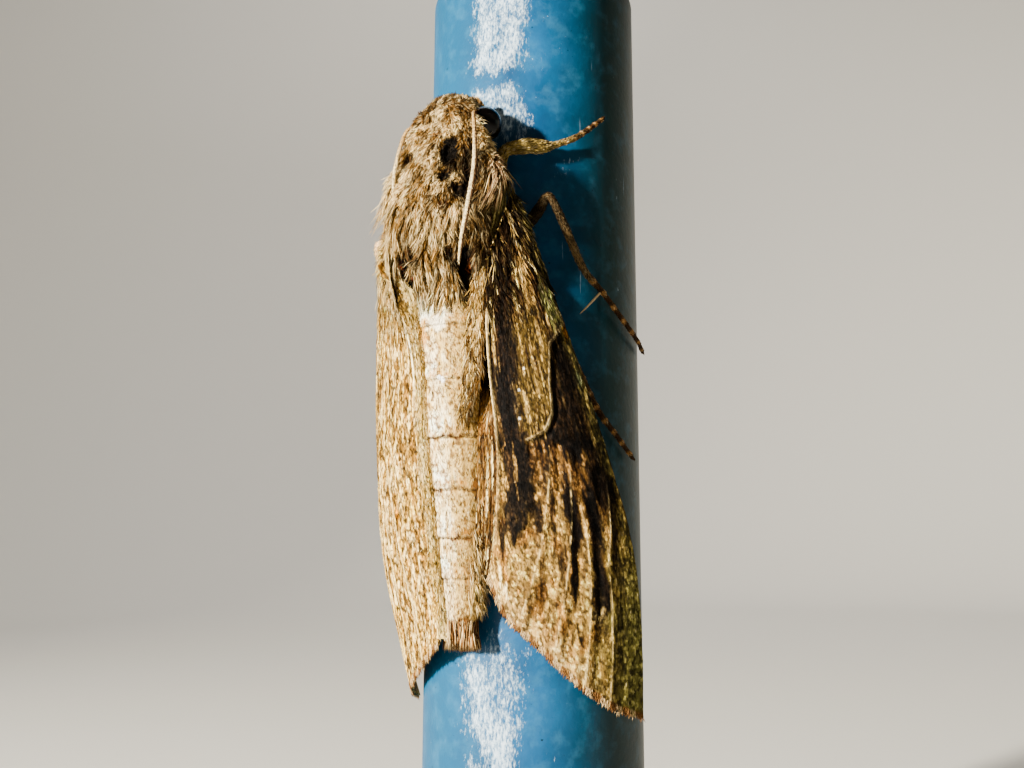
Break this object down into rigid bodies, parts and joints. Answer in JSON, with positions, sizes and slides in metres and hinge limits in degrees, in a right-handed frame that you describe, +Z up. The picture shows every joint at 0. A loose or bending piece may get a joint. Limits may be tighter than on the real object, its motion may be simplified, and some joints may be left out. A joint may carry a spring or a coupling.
{
  "type": "hawk moth model",
  "caption": "Hawk moth at rest, head up on a cut length of blue painted pole, wings folded roof-like over a hairy body, on a plain display stand.",
  "frame": {"origin": "centre of the display base's underside", "axes": "+Z up along the pole's axis, towards the moth's head; the moth's back faces -Y; +X to the moth's right"},
  "size_m": [0.056, 0.056, 0.0906],
  "materials": {
    "scaled_body": "dense hair-scales, matt",
    "pale_abdomen": "flat cream scales, matt",
    "tuft_brown": "brush of stiff brown scales, matt",
    "wing_scales": "overlapping dust-fine scales on a stiff membrane, matt",
    "eye_black": "glossy black",
    "antenna_cream": "hard shell with cream scales",
    "leg_brown": "hard shell with close brown scales",
    "blue_paint": "worn gloss paint",
    "stand_grey": "satin grey paint"
  },
  "bodies": {
    "root": {"abdomen": "pale_abdomen", "anal_tuft": "tuft_brown", "antenna_l": "antenna_cream", "antenna_r": "antenna_cream", "eye_l": "eye_black", "eye_r": "eye_black", "forewing_l": "wing_scales", "forewing_r": "wing_scales", "head": "scaled_body", "hindwing_l": "wing_scales", "hindwing_r": "wing_scales", "leg_fore_l": "leg_brown", "leg_fore_r": "leg_brown", "leg_hind_l": "leg_brown", "leg_hind_r": "leg_brown", "leg_mid_l": "leg_brown", "leg_mid_r": "leg_brown", "palp_l": "scaled_body", "palp_r": "scaled_body", "perch_pole": "blue_paint", "proboscis": "tuft_brown", "stand_base": "stand_grey", "stand_rod": "stand_grey", "tegula_l": "scaled_body", "tegula_r": "scaled_body", "thorax": "scaled_body"}
  },
  "joints": []
}
